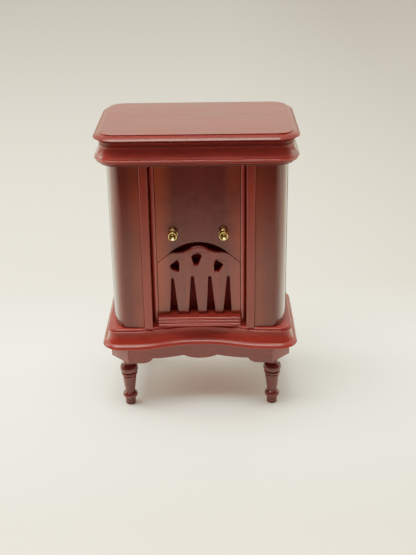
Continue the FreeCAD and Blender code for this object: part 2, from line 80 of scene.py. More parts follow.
# Each slot: top x and width, foot x and width, height of its top.
SLOTS = ((-7.75, 0.8, -7.5, 2.55, 41.6), (-1.9, 0.9, -1.8, 2.85, 42.2),
         (3.15, 0.85, 3.45, 2.7, 42.2), (8.6, 0.8, 8.25, 2.5, 42.15))
FAN_HOLES = (((-2.2, 49.0), (-0.2, 49.8), (0.95, 49.1), (-0.25, 45.9), (-1.4, 45.9)),
             ((-8.45, 46.0), (-6.3, 47.75), (-5.65, 46.9), (-5.8, 43.75), (-8.1, 44.85)),
             ((4.9, 47.8), (7.15, 46.15), (5.75, 43.85), (4.55, 43.85), (4.4, 46.0)))
SERPENTINE = 3.5  # depth of the hollow in the plinth's front
SERPENTINE_END = 20.0  # where the front runs straight again
SERPENTINE_TURN = 11.4  # where the hollow turns into the swelling beside it
BASE_CORNER = 5.4
TOP_CORNER = 6.65
APRON_INSET = 3.5
APRON_SIDE = 27.2
APRON_THICK = 1.9
SIDE_ARCH = 1.3
CANT_START = 21.5
BLOCK_DEPTH = 8.2
BLOCK_INNER = 17.6
LEG_X = 21.85
LEG_Y = 14.05
TENON_RADIUS = 1.2
KNOB_X = 7.3
KNOB_Z = 56.0
SHANK_RADIUS = 0.5
SHANK_SLACK = 0.05
BLOCK_FRONT = APRON_INSET - HALF_DEPTH
BLOCK_BACK = BLOCK_FRONT + BLOCK_DEPTH

# ------------------------------------------------------------------ finish of edges and meshes
SHARP_ANGLE = math.radians(38)
PLAN_GAP = 0.6
CORNER_STEPS = 18
HOLLOW_STEPS = 44
MOULDING_GAP = 0.04
ARC_STEPS = 24
MARGIN = 0.05
EASE_BEND = 0.3  # how far the middle of a three-point rounding stands off, as part of its ease
FRET_EASE = 0.14
APRON_EASE = 0.16
BLOCK_EASE = 0.14
SILL_EASE = 0.08
SLOT_FOOT = 0.45
SLOT_FOOT_MIDDLE = (0.12, 0.13)
SLOT_CROWN = 0.35
HOLE_CORNER = 0.3
HOLE_GAP = 0.25
CREST_LOW = 50.15
CREST_FADE = 0.5
CREST_ROUND = 0.5
HAND_SAWN = 0.04
REED_WANDER = 0.06
REED_SWELL = 0.03
REED_GAP = 0.5

# ------------------------------------------------------------------ edge profiles
# Each run is two points for a line or three for an arc: (inset from the outline, height).
TOP_PROFILE = (((2.6, 86.2), (1.95, 86.2)), ((1.95, 86.2), (1.92, 85.85)),
               ((1.92, 85.85), (1.75, 85.78)), ((1.75, 85.78), (0.85, 85.5), (0.12, 85.0)),
               ((0.12, 85.0), (0.0, 84.85), (0.12, 84.7)), ((0.12, 84.7), (1.3, 84.6)),
               ((1.3, 84.6), (1.3, 84.2)), ((1.3, 84.2), (1.1, 84.05), (1.3, 83.9)),
               ((1.3, 83.9), (1.65, 83.85)), ((1.65, 83.85), (1.65, 83.0)),
               ((1.65, 83.0), (2.6, 83.0)))
CORNICE_PROFILE = (((2.6, 83.0), (1.65, 83.0)), ((1.65, 83.0), (1.5, 82.85)),
                   ((1.5, 82.85), (1.25, 81.1), (0.5, 79.65)), ((0.5, 79.65), (0.42, 79.4)),
                   ((0.42, 79.4), (0.06, 79.2), (0.15, 78.95)), ((0.15, 78.95), (0.45, 78.85)),
                   ((0.45, 78.85), (0.45, 78.3)), ((0.45, 78.3), (0.6, 78.2)),
                   ((0.6, 78.2), (2.6, 78.2)))
FRIEZE_PROFILE = (((2.6, 78.2), (1.55, 78.2)), ((1.55, 78.2), (1.55, 77.4)),
                  ((1.55, 77.4), (2.6, 77.4)))
PLINTH_PROFILE = (((3.0, 27.6), (2.3, 27.6)), ((2.3, 27.6), (1.92, 27.42), (1.8, 27.15)),
                  ((1.8, 27.15), (2.1, 26.95)), ((2.1, 26.95), (1.76, 26.72)),
                  ((1.76, 26.72), (1.68, 26.55), (1.8, 26.35)), ((1.8, 26.35), (2.1, 26.15)),
                  ((2.1, 26.15), (1.75, 24.4), (1.2, 23.05)), ((1.2, 23.05), (1.12, 22.95)),
                  ((1.12, 22.95), (0.58, 22.65), (0.08, 22.05)),
                  ((0.08, 22.05), (0.0, 21.9), (0.08, 21.75)), ((0.08, 21.75), (0.7, 21.6)),
                  ((0.7, 21.6), (0.7, 21.3)), ((0.7, 21.3), (3.0, 21.3)))
# (radius, height) from the floor up
LEG_PROFILE = (((0.0, 0.0), (1.4, 0.0)), ((1.4, 0.0), (1.55, 0.15)), ((1.55, 0.15), (1.62, 2.2)),
               ((1.62, 2.2), (1.9, 2.35)), ((1.9, 2.35), (2.3, 3.25), (1.85, 4.2)),
               ((1.85, 4.2), (1.58, 4.45)), ((1.58, 4.45), (1.6, 5.2), (1.7, 6.0)),
               ((1.7, 6.0), (2.2, 9.9)), ((2.2, 9.9), (2.02, 10.05)),
               ((2.02, 10.05), (2.02, 10.25)), ((2.02, 10.25), (2.4, 10.4)),
               ((2.4, 10.4), (2.52, 10.75), (2.4, 11.1)), ((2.4, 11.1), (2.15, 11.2)),
               ((2.15, 11.2), (2.15, 11.4)), ((2.15, 11.4), (2.55, 11.5)),
               ((2.55, 11.5), (2.78, 12.5), (2.35, 13.6)), ((2.35, 13.6), (1.85, 13.9)),
               ((1.85, 13.9), (1.7, 14.5), (2.0, 15.25)),
               ((2.0, 15.25), (1.2, 15.25)), ((1.2, 15.25), (1.2, 19.25)),
               ((1.2, 19.25), (0.0, 19.25)))
# (radius, distance out from the panel), from the shank's tail to the dish in the face
KNOB_PROFILE = (((0.0, -4.3), (0.5, -4.3)), ((0.5, -4.3), (0.5, 0.1)), ((0.5, 0.1), (1.3, 0.1)),
                ((1.3, 0.1), (1.48, 0.35), (1.35, 0.6)), ((1.35, 0.6), (1.1, 0.72)),
                ((1.1, 0.72), (1.02, 0.9), (1.12, 1.1)), ((1.12, 1.1), (1.42, 1.9), (1.3, 2.65)),
                ((1.3, 2.65), (1.17, 2.8), (1.0, 2.7)), ((1.0, 2.7), (0.25, 1.82)),
                ((0.25, 1.82), (0.0, 1.75)))


# ------------------------------------------------------------------ curves
def arc_through(a, b, c, steps):
    """Points on the circle through three points, from the first to the last."""
    d = 2 * (a[0] * (b[1] - c[1]) + b[0] * (c[1] - a[1]) + c[0] * (a[1] - b[1]))
    qa, qb, qc = (p[0] ** 2 + p[1] ** 2 for p in (a, b, c))
    cx = (qa * (b[1] - c[1]) + qb * (c[1] - a[1]) + qc * (a[1] - b[1])) / d
    cy = (qa * (c[0] - b[0]) + qb * (a[0] - c[0]) + qc * (b[0] - a[0])) / d
    radius = math.hypot(a[0] - cx, a[1] - cy)
    start, middle, end = (math.atan2(p[1] - cy, p[0] - cx) for p in (a, b, c))
    turn = (end - start) % math.tau
    if (middle - start) % math.tau > turn:
        turn -= math.tau
    angles = [start + turn * i / steps for i in range(steps + 1)]
    return [(cx + radius * math.cos(t), cy + radius * math.sin(t)) for t in angles]


def spread(points, gap):
    """The same line with points at an even gap."""
    lengths = [math.dist(a, b) for a, b in zip(points, points[1:])]
    total = sum(lengths)
    count = max(2, round(total / gap))
    out = [points[0]]
    i, walked = 0, 0.0
    for k in range(1, count):
        target = total * k / count
        while walked + lengths[i] < target:
            walked += lengths[i]
            i += 1
        t = (target - walked) / lengths[i]
        out.append(tuple(p + (q - p) * t for p, q in zip(points[i], points[i + 1])))
    return out + [points[-1]]


def soften(points, passes):
    """Lacquer-soft corners: each point drifts to the middle of its neighbours."""
    for _ in range(passes):
        inner = [tuple((a + 2 * b + c) / 4 for a, b, c in zip(*trio))
                 for trio in zip(points, points[1:], points[2:])]
        points = [points[0]] + inner + [points[-1]]
    return points


def trace(runs, gap=0.06, passes=2):
    """Line along a list of runs, evenly spaced, with its corners softened."""
    points = [runs[0][0]]
    for run in runs:
        points += arc_through(*run, ARC_STEPS)[1:] if len(run) == 3 else [run[1]]
    return soften(spread(points, gap), passes)


def rounded(corners, steps=6):
    """Closed outline from (x, y, radius) corners."""
    out = []
    count = len(corners)
    for i, (x, y, radius) in enumerate(corners):
        if radius == 0:
            out.append((x, y))
            continue
        here = Vector((x, y))
        before = (Vector(corners[i - 1][:2]) - here).normalized()
        after = (Vector(corners[(i + 1) % count][:2]) - here).normalized()
        half = before.angle(after) / 2
        reach = radius / math.tan(half)
        centre = here + (before + after).normalized() * (radius / math.sin(half))
        a = here + before * reach - centre
        b = here + after * reach - centre
        for k in range(steps + 1):
            spoke = a.slerp(b, k / steps).normalized() * radius
            out.append((centre.x + spoke.x, centre.y + spoke.y))
    return out


def wobble(point, size, reach, seed):
    """Small smooth departure from true, the same on every run."""
    place = Vector(point) / reach + Vector((seed, seed * 0.37, 0))
    return noise.noise(place) * size


# ------------------------------------------------------------------ plan outlines
# A station is a point of a plan and the inward normal there: (x, y, normal x, normal y).
def along_line(a, b, normal):
    count = max(2, round(math.dist(a, b) / PLAN_GAP))
    return [(a[0] + (b[0] - a[0]) * i / count, a[1] + (b[1] - a[1]) * i / count) + normal
            for i in range(count)]


def along_arc(centre, radius, start, end, inward, steps):
    """Stations on an arc; inward is 1 where the board lies towards the centre."""
    out = []
    for i in range(steps):
        t = math.radians(start + (end - start) * i / steps)
        c, s = math.cos(t), math.sin(t)
        out.append((centre[0] + radius * c, centre[1] + radius * s, -inward * c, -inward * s))
    return out


def serpentine_stations():
    """Front of the plinth from left to right, with its inward normals."""
    turn = 2 * math.degrees(math.atan2(SERPENTINE, SERPENTINE_END))
    sine = math.sin(math.radians(turn))
    concave = SERPENTINE_TURN / sine
    convex = (SERPENTINE_END - SERPENTINE_TURN) / sine
    front = -HALF_DEPTH
    left = (-SERPENTINE_END, front + convex)
    right = (SERPENTINE_END, front + convex)
    hollow = (0, front + SERPENTINE - concave)
    return (along_arc(left, convex, 270, 270 + turn, 1, CORNER_STEPS)
            + along_arc(hollow, concave, 90 + turn, 90 - turn, -1, HOLLOW_STEPS)
            + along_arc(right, convex, 270 - turn, 270, 1, CORNER_STEPS))


def around(half, front, back, radius, front_run):
    """Closed plan with four round corners and a given run along the front."""
    cx = half - radius
    return (front_run(cx, front)
            + along_arc((cx, front + radius), radius, 270, 360, 1, CORNER_STEPS)
            + along_line((half, front + radius), (half, back - radius), (-1, 0))
            + along_arc((cx, back - radius), radius, 0, 90, 1, CORNER_STEPS)
            + along_line((cx, back), (-cx, back), (0, -1))
            + along_arc((-cx, back - radius), radius, 90, 180, 1, CORNER_STEPS)
            + along_line((-half, back - radius), (-half, front + radius), (1, 0))
            + along_arc((-cx, front + radius), radius, 180, 270, 1, CORNER_STEPS))


def straight_front(cx, front):
    return along_line((-cx, front), (cx, front), (0, 1))


def serpentine_front(cx, front):
    end = SERPENTINE_END
    return (along_line((-cx, front), (-end, front), (0, 1)) + serpentine_stations()
            + along_line((end, front), (cx, front), (0, 1)))


def top_plan():
    return around(TOP_WIDTH / 2, TOP_FRONT, HALF_DEPTH, TOP_CORNER, straight_front)


def base_plan():
    return around(BASE_WIDTH / 2, -HALF_DEPTH, HALF_DEPTH, BASE_CORNER, serpentine_front)


# ------------------------------------------------------------------ meshes
def finish_piece(part, mesh, material, body="cabinet"):
    """Adds a mesh as the piece that stands for one CAD node."""
    name = part + "_fine"
    mesh.name = name
    mesh.validate()
    mesh.shade_smooth()
    mesh.set_sharp_from_angle(angle=SHARP_ANGLE)
    mesh.materials.clear()
    mesh.materials.append(material)
    piece = bpy.data.objects.new(name, mesh)
    bpy.context.scene.collection.objects.link(piece)
    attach(piece, body)
    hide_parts(part)
    if "flat_boards" in mesh:
        true_flats(mesh)
    else:
        even = piece.modifiers.new("even_faces", "WEIGHTED_NORMAL")
        even.keep_sharp = True
        even.weight = 100


def true_flats(mesh):
    """Keeps a board's flats true right up to the arrises, where the normals turn."""
    normals = [vertex.normal.copy() for vertex in mesh.vertices]
    flats = {}
    for face in mesh.polygons:
        if len(face.vertices) == 3:
            for v in face.vertices:
                flats[v] = flats.get(v, Vector()) + face.normal * face.area
    for v, total in flats.items():
        normals[v] = total.normalized()
    mesh.normals_split_custom_set_from_vertices(normals)


def mesh_of(points, faces):
    """Mesh from points in millimetres."""
    mesh = bpy.data.meshes.new("mesh")
    mesh.from_pydata([tuple(c * MM for c in p) for p in points], [], faces)
    return mesh


def strips(rows, columns, closed_rows, closed_columns):
    """Quads between rows of points that are numbered row by row."""
    faces = []
    for i in range(rows if closed_rows else rows - 1):
        for j in range(columns if closed_columns else columns - 1):
            i2, j2 = (i + 1) % rows, (j + 1) % columns
            faces.append((i * columns + j, i2 * columns + j, i2 * columns + j2, i * columns + j2))
    return faces


def moulded(plan, runs, size, seed):
    """Board whose edge follows a profile round a plan, closed above and below."""
    profile = trace(runs, MOULDING_GAP, 1)
    columns = len(profile)
    points = []
    for x, y, nx, ny in plan:
        for inset, z in profile:
            inset += wobble((x, y, z * 2), size, 5.0, seed)
            points.append((x + nx * inset, y + ny * inset, z))
    rows = len(plan)
    faces = [face[::-1] for face in strips(rows, columns, True, False)]
    faces.append(tuple(i * columns for i in range(rows)))
    faces.append(tuple(i * columns + columns - 1 for i in range(rows))[::-1])
    return mesh_of(points, faces)


def lathe(runs, place, segments=72, gap=0.06, passes=2):
    """Turned piece: place maps (radius, along, angle) to a point."""
    profile = trace(runs, gap, passes)
    first, last, inner = profile[0], profile[-1], profile[1:-1]
    columns = len(inner)
    points = []
    for i in range(segments):
        t = math.tau * i / segments
        points += [place(radius, along, t) for radius, along in inner]
    faces = strips(segments, columns, True, False)
    start, end = len(points), len(points) + 1
    points += [place(0.0, first[1], 0.0), place(0.0, last[1], 0.0)]
    for i in range(segments):
        a, b = i * columns, (i + 1) % segments * columns
        faces.append((start, b, a))
        faces.append((end, a + columns - 1, b + columns - 1))
    return mesh_of(points, faces)


def section_normals(ring):
    """Inward normals of a closed anticlockwise section."""
    out = []
    count = len(ring)
    for i in range(count):
        a, b = ring[i - 1], ring[(i + 1) % count]
        dx, dy = b[0] - a[0], b[1] - a[1]
        length = math.hypot(dx, dy) or 1.0
        out.append((-dy / length, dx / length))
    return out


def extruded(ring, low, high, place, ease=0.1, stops=()):
    """Closed anticlockwise section pushed from low to high, its ends eased."""
    normals = section_normals(ring)
    bend = EASE_BEND * ease
    levels = [(low, ease), (low + bend, bend), (low + ease, 0.0)]
    levels += [(stop, 0.0) for stop in stops]
    levels += [(high - ease, 0.0), (high - bend, bend), (high, ease)]
    points = []
    for level, inset in levels:
        for (u, v), (nu, nv) in zip(ring, normals):
            points.append(place(u + nu * inset, v + nv * inset, level))
    columns = len(ring)
    rows = len(levels)
    faces = [face[::-1] for face in strips(rows, columns, False, True)]
    faces.append(tuple(range(columns))[::-1])
    faces.append(tuple(range((rows - 1) * columns, rows * columns)))
    return mesh_of(points, faces)


def upright(u, v, level):
    return (u, v, level)


def mirror_x(mesh):
    copy = mesh.copy()
    copy.transform(Matrix.Scale(-1, 4, (1, 0, 0)))
    copy.flip_normals()
    return copy


def plate(outlines, thickness, place, ease=0.12):
    """Flat board from closed outlines, later ones cut out of the first, arrises rounded.

    place maps (u, v, depth) to a point; depth runs from 0 at the face. Two thin margins just
    inside the arrises keep the flats' shading true.
    """
    curve = bpy.data.curves.new("outline", "CURVE")
    curve.dimensions = "2D"
    curve.fill_mode = "BOTH"
    curve.bevel_depth = ease * MM
    curve.bevel_resolution = 3
    curve.offset = -ease * MM
    curve.extrude = (thickness / 2 - ease) * MM
    for outline in outlines:
        spline = curve.splines.new("POLY")
        spline.points.add(len(outline) - 1)
        for point, (u, v) in zip(spline.points, outline):
            point.co = (u * MM, v * MM, 0, 1)
        spline.use_cyclic_u = True
    holder = bpy.data.objects.new("outline", curve)
    mesh = bpy.data.meshes.new_from_object(holder)
    bpy.data.objects.remove(holder)
    bpy.data.curves.remove(curve)
    for vertex in mesh.vertices:
        u, v, w = (c / MM for c in vertex.co)
        vertex.co = [c * MM for c in place(u, v, thickness / 2 - w)]
    mesh["flat_boards"] = 1
    work = bmesh.new()
    work.from_mesh(mesh)
    bmesh.ops.remove_doubles(work, verts=work.verts, dist=1e-8)
    flats = [face for face in work.faces if len(face.verts) == 3]
    for _ in range(2):
        bmesh.ops.inset_region(work, faces=flats, thickness=MARGIN * MM, use_even_offset=True,
                               use_boundary=True)
    work.to_mesh(mesh)
    work.free()
    return mesh


def upright_plate(face_y):
    """Board that faces -Y."""
    def place(u, v, depth):
        return (u, face_y + depth, v)
    return place


def circle(cx, cy, radius, steps=32):
    return [(cx + radius * math.cos(math.tau * i / steps),
             cy + radius * math.sin(math.tau * i / steps)) for i in range(steps)]


# ------------------------------------------------------------------ materials
def node(tree, kind, values, **settings):
    """New shader node with its settings and its inputs, linked or constant."""
    made = tree.nodes.new("ShaderNode" + kind)
    for key, value in settings.items():
        setattr(made, key, value)
    for key, value in values.items():
        if isinstance(value, bpy.types.NodeSocket):
            tree.links.new(value, made.inputs[key])
        else:
            made.inputs[key].default_value = value
    return made


def textured(tree, vector, scale, detail=3.0, roughness=0.55, distortion=0.0):
    return node(tree, "TexNoise", {"Vector": vector, "Scale": scale, "Detail": detail,
                                   "Roughness": roughness, "Distortion": distortion}).outputs["Fac"]


def ranged(tree, value, low, high, out_low=0.0, out_high=1.0):
    return node(tree, "MapRange", {"Value": value, "From Min": low, "From Max": high,
                                   "To Min": out_low, "To Max": out_high}).outputs["Result"]


def maths(tree, operation, a, b=0.0):
    return node(tree, "Math", {0: a, 1: b}, operation=operation).outputs[0]


def ramp(tree, value, stops):
    made = node(tree, "ValToRGB", {"Fac": value})
    elements = made.color_ramp.elements
    while len(elements) < len(stops):
        elements.new(0.5)
    for element, (position, colour) in zip(elements, stops):
        element.position = position
        element.color = (*colour, 1)
    return made.outputs["Color"]


def blend(tree, factor, a, b, mode="MIX"):
    made = node(tree, "Mix", {0: factor, 6: a, 7: b}, data_type="RGBA", blend_type=mode)
    return made.outputs[2]


def coordinates(tree, along, stretch, seed):
    """Object coordinates in millimetres, drawn out along the grain."""
    scale = [1000.0, 1000.0, 1000.0]
    scale["XYZ".index(along)] /= stretch
    place = node(tree, "TexCoord", {}).outputs["Object"]
    shift = (seed * 7.31, seed * 3.17, seed * 5.73)
    return node(tree, "Mapping", {"Vector": place, "Location": shift,
                                  "Scale": scale}).outputs["Vector"]


def new_material(name):
    material = bpy.data.materials.new(name)
    material.use_nodes = True
    return material, material.node_tree, material.node_tree.nodes["Principled BSDF"]


def crevices(tree, reach, own=False):
    return node(tree, "AmbientOcclusion", {"Distance": reach}, samples=8,
                only_local=own).outputs["AO"]


# Colours of the lacquered wood: its three tones and pores, lighter orange bands beside the
# front's edges, painted light in hollows, a painted highlight with some wear on arrises, and
# painted shade in corners.
WOOD_DARK = (0.17, 0.013, 0.009)
WOOD_MIDDLE = (0.24, 0.022, 0.014)
WOOD_LIGHT = (0.30, 0.032, 0.020)
PORE = (0.07, 0.008, 0.006, 1)
FLANK = (0.48, 0.075, 0.022, 1)
PAINTED_HOLLOW_LIGHT = (0.44, 0.028, 0.016, 1)
ARRIS_HIGHLIGHT_AND_WEAR = (0.50, 0.10, 0.045, 1)
PAINTED_CREVICE_SHADE = (0.12, 0.007, 0.003, 1)
LACQUER_IOR = 1.5
WAVE = 0.05 * MM  # height of the waves in the lacquer


def toned(colour, tone):
    return tuple(part * tone for part in colour)


def mahogany(name, along, seed, tone=1.0, gloss=1.0, flanks=(), sheen=0.12,
             film=0.11, arris_light_and_wear=0.35, hollow_light=0.6, crevice_shade_reach=0.4):
    """Red mahogany under a thick, slightly wavy lacquer.

    tone scales the wood's own colour, gloss is the lacquer's weight and film its roughness, and
    sheen is the wood's own shine. The last three settings are how far arrises are lightened, a
    painted highlight with some wear, how far hollows are lightened with painted light, and the
    reach in millimetres of the painted shade that darkens corners. flanks are lighter orange
    bands by distance from the middle, stronger on the left: (start, end, most).
    """
    material, tree, shader = new_material(name)
    grain_space = coordinates(tree, along, 13.0, seed)
    even_space = coordinates(tree, along, 1.6, seed + 4.0)
    figure = textured(tree, grain_space, 0.2, 3.0, 0.5, 0.9)
    grain = textured(tree, grain_space, 1.15, 5.0, 0.62, 0.3)
    pores = textured(tree, grain_space, 5.2, 2.0, 0.5)
    cloud = textured(tree, even_space, 0.09, 2.0, 0.5)
    swell = textured(tree, even_space, 0.42, 2.0, 0.45)
    fibres = maths(tree, "ADD", maths(tree, "MULTIPLY", figure, 0.35),
                   maths(tree, "MULTIPLY", grain, 0.3))
    both = maths(tree, "ADD", fibres, maths(tree, "MULTIPLY", cloud, 0.35))
    wood = ramp(tree, both, ((0.3, toned(WOOD_DARK, tone)), (0.5, toned(WOOD_MIDDLE, tone)),
                             (0.72, toned(WOOD_LIGHT, tone))))
    fleck = ranged(tree, pores, 0.34, 0.42, 0.3, 0.0)
    wood = blend(tree, fleck, wood, PORE)
    place = node(tree, "TexCoord", {}).outputs["Object"]
    across = node(tree, "SeparateXYZ", {"Vector": place}).outputs["X"]
    lopsided = ranged(tree, across, -8 * MM, 8 * MM, 1.0, 0.55)
    # Lighter orange bands by distance from the middle, stronger on the left.
    for start, end, most in flanks:
        flank_band = ranged(tree, maths(tree, "ABSOLUTE", across), start * MM, end * MM, 0.0, most)
        flank_band = maths(tree, "MULTIPLY", flank_band, lopsided)
        uneven = maths(tree, "MULTIPLY", flank_band, ranged(tree, cloud, 0.35, 0.65, 0.75, 1.25))
        wood = blend(tree, uneven, wood, FLANK)
    # Painted light: hollows out of the light's reach are lightened to a brighter red.
    hollow = ranged(tree, crevices(tree, 2.5 * MM, True), 0.45, 0.95, hollow_light, 0.0)
    wood = blend(tree, hollow, wood, PAINTED_HOLLOW_LIGHT)
    # Painted highlight with some wear: sharp arrises are lightened to a paler orange.
    edge = node(tree, "NewGeometry", {}).outputs["Pointiness"]
    lit_and_worn_arris = ranged(tree, edge, 0.52, 0.62, 0.0, arris_light_and_wear)
    wood = blend(tree, lit_and_worn_arris, wood, ARRIS_HIGHLIGHT_AND_WEAR)
    # Painted shade: corners and creases are darkened.
    painted_crevice_shade = ranged(tree, crevices(tree, crevice_shade_reach * MM), 0.1, 0.6, 0.7, 0.0)
    wood = blend(tree, painted_crevice_shade, wood, PAINTED_CREVICE_SHADE)
    tree.links.new(wood, shader.inputs["Base Color"])
    tree.links.new(ranged(tree, maths(tree, "ADD", grain, cloud), 0.7, 1.3, 0.34, 0.5),
                   shader.inputs["Roughness"])
    fine = node(tree, "Bump", {"Height": pores, "Distance": 0.006 * MM, "Strength": 1.0})
    under = node(tree, "Bump", {"Height": swell, "Distance": WAVE, "Strength": 1.0,
                                "Normal": fine.outputs["Normal"]})
    coat = node(tree, "Bump", {"Height": swell, "Distance": WAVE, "Strength": 1.0})
    tree.links.new(under.outputs["Normal"], shader.inputs["Normal"])
    tree.links.new(coat.outputs["Normal"], shader.inputs["Coat Normal"])
    shader.inputs["IOR"].default_value = LACQUER_IOR
    shader.inputs["Specular IOR Level"].default_value = sheen
    shader.inputs["Coat Weight"].default_value = gloss
    shader.inputs["Coat Roughness"].default_value = film
    shader.inputs["Coat IOR"].default_value = LACQUER_IOR
    return material


def plain_wood(name, along, seed, dark, light, roughness):
    """Wood with no lacquer on it: grain, pores and a dull face."""
    material, tree, shader = new_material(name)
    grain_space = coordinates(tree, along, 11.0, seed)
    grain = textured(tree, grain_space, 0.9, 5.0, 0.6, 0.4)
    pores = textured(tree, grain_space, 5.0, 2.0)
    wood = ramp(tree, grain, ((0.33, dark), (0.67, light)))
    wood = blend(tree, ranged(tree, pores, 0.34, 0.42, 0.5, 0.0), wood, (*dark, 1))
    tree.links.new(wood, shader.inputs["Base Color"])
    tree.links.new(ranged(tree, grain, 0.3, 0.7, roughness, roughness + 0.15),
                   shader.inputs["Roughness"])
    bump = node(tree, "Bump", {"Height": pores, "Distance": 0.02 * MM, "Strength": 1.0})
    tree.links.new(bump.outputs["Normal"], shader.inputs["Normal"])
    shader.inputs["Specular IOR Level"].default_value = 0.25
    return material


def turned_brass(name, axis_x, seed):
    """Polished brass with turning lines about the knob's axis and painted shade in its hollows."""
    material, tree, shader = new_material(name)
    place = node(tree, "TexCoord", {}).outputs["Object"]
    centred = node(tree, "Mapping", {"Vector": place, "Scale": (1000, 1000, 1000),
                                     "Location": (-axis_x, 0, -KNOB_Z)}).outputs["Vector"]
    rings = node(tree, "TexWave", {"Vector": centred, "Scale": 3.2, "Distortion": 0.6,
                                   "Detail": 2.0, "Detail Scale": 2.0},
                 wave_type="RINGS", rings_direction="Y").outputs["Fac"]
    mottle = textured(tree, coordinates(tree, "Y", 1.0, seed), 1.4, 4.0, 0.6)
    metal = ramp(tree, mottle, ((0.3, (0.70, 0.47, 0.16)), (0.55, (0.88, 0.67, 0.30)),
                                (0.75, (0.95, 0.80, 0.48))))
    # Painted shade: the knob's hollows and dish are darkened.
    dull = ranged(tree, crevices(tree, 1.0 * MM), 0.2, 0.8, 0.7, 0.0)
    metal = blend(tree, dull, metal, (0.16, 0.09, 0.012, 1))
    tree.links.new(metal, shader.inputs["Base Color"])
    tree.links.new(ranged(tree, mottle, 0.3, 0.7, 0.16, 0.34), shader.inputs["Roughness"])
    bump = node(tree, "Bump", {"Height": rings, "Distance": 0.006 * MM, "Strength": 1.0})
    tree.links.new(bump.outputs["Normal"], shader.inputs["Normal"])
    shader.inputs["Metallic"].default_value = 1.0
    return material


# Boards that are cut from a flat outline have large faces, which the painted arris highlight and
# wear can't be read from.
TOP_WOOD = mahogany("mahogany_top", "X", 1.0, tone=0.78, gloss=0.69, sheen=0.05, film=0.16)
CORNICE_WOOD = mahogany("mahogany_cornice", "X", 2.0, tone=1.3, sheen=0.2, film=0.15)
FRIEZE_WOOD = mahogany("mahogany_frieze", "X", 2.5, tone=0.6, sheen=0.4)
BASE_WOOD = mahogany("mahogany_base", "X", 3.0, tone=1.25, gloss=0.78, film=0.25)
APRON_WOOD = mahogany("mahogany_apron", "X", 4.0, tone=0.85, arris_light_and_wear=0.0)
SIDE_APRON_WOOD = mahogany("mahogany_side_apron", "Y", 5.0, tone=0.85, arris_light_and_wear=0.0)
PANEL_WOOD = mahogany("mahogany_panel", "Z", 6.0, tone=0.6, flanks=((7, 12, 0.9),), sheen=0.17,
                      arris_light_and_wear=0.0)
FRET_WOOD = mahogany("mahogany_fret", "Z", 7.0, tone=0.85, flanks=((8, 12, 0.85),), sheen=0.3,
                     arris_light_and_wear=0.0)
SIDE_WOOD = mahogany("mahogany_side", "Z", 8.0, tone=0.45, arris_light_and_wear=0.0)
# On the posts the flank band beside the pilasters is a painted reflection of the pilasters' sides,
# and the painted shade reaches wider to darken their feet.
POST_WOOD = mahogany("mahogany_post", "Z", 9.0, tone=0.45, flanks=((20.0, 16.5, 0.3),), sheen=0.1,
                     crevice_shade_reach=1.6)
PILASTER_WOOD = mahogany("mahogany_pilaster", "Z", 9.5)
# The bead's lighter tone is a painted highlight along its rounded nose.
BEAD_PAINTED_HIGHLIGHT_WOOD = mahogany("mahogany_bead_painted_highlight", "Z", 9.8, tone=1.7, sheen=0.5)
SILL_WOOD = mahogany("mahogany_sill", "X", 10.0, tone=1.3, sheen=0.3)
LEG_WOOD = mahogany("mahogany_leg", "Z", 11.0, tone=0.6, sheen=0.06, hollow_light=0.1)
BACKING = plain_wood("stained_board", "Z", 12.0, (0.13, 0.004, 0.003), (0.23, 0.009, 0.007), 0.6)
BARE = plain_wood("bare_wood", "Z", 13.0, (0.33, 0.19, 0.09), (0.52, 0.34, 0.18), 0.6)
BRASS = {side: turned_brass("brass_" + side, x, 14.0) for side, x in
         (("volume", -KNOB_X), ("tuning", KNOB_X))}


# ------------------------------------------------------------------ moulded boards
def wooden(part, mesh, material):
    finish_piece(part, mesh, material)


for board, plan, runs, uneven, seed, wood in (
        ("top_panel", top_plan(), TOP_PROFILE, 0.03, 1.0, TOP_WOOD),
        ("cornice_moulding", top_plan(), CORNICE_PROFILE, 0.04, 2.0, CORNICE_WOOD),
        ("frieze_board", top_plan(), FRIEZE_PROFILE, 0.03, 3.0, FRIEZE_WOOD),
        ("plinth_board", base_plan(), PLINTH_PROFILE, 0.05, 4.0, BASE_WOOD)):
    wooden(board, moulded(plan, runs, uneven, seed), wood)


# ------------------------------------------------------------------ cabinet
def column_section():
    """Plan of the right corner post, whose front corner is a quarter of an ellipse."""
    across, back = COLUMN_CORNER
    cx = COLUMN_OUTER - across
    cy = BODY_FRONT + back
    roll = []
    for i in range(ARC_STEPS):
        t = math.radians(90 * i / ARC_STEPS)
        roll.append((cx + across * math.sin(t), cy - back * math.cos(t), 0))
    return rounded([(COLUMN_INNER, cy, 0.1), (COLUMN_INNER, BODY_FRONT, 0.12)] + roll
                   + [(COLUMN_OUTER, cy, 0.08)])


def box_section(x, y, radii):
    """Anticlockwise rectangle; radii run from its front left corner."""
    corners = ((x[0], y[0]), (x[1], y[0]), (x[1], y[1]), (x[0], y[1]))
    return rounded([corner + (radius,) for corner, radius in zip(corners, radii)])


def bead_section():
    """Plan of the right bead strip: a rounded nose with a groove beside it."""
    x0, x1 = BEAD_STRIP
    floor_y = FRET_FACE + BEAD_FLOOR
    shoulder = FRET_FACE - BEAD_SHOULDER
    nose = arc_through((x0, shoulder), ((x0 + x1) / 2, FRET_FACE - BEAD_STRIP_PROUD),
                       (x1, shoulder), 14)
    return nose + [(x1 + 0.02, FRET_FACE), (BEAD_EDGE, floor_y), (BEAD_EDGE, FRET_BACK),
                   (x0, FRET_BACK)]


def both_sides(part, mesh, material):
    """A piece on the right and its mirror image on the left."""
    wooden(part + "_right", mesh, material)
    wooden(part + "_left", mirror_x(mesh), material)


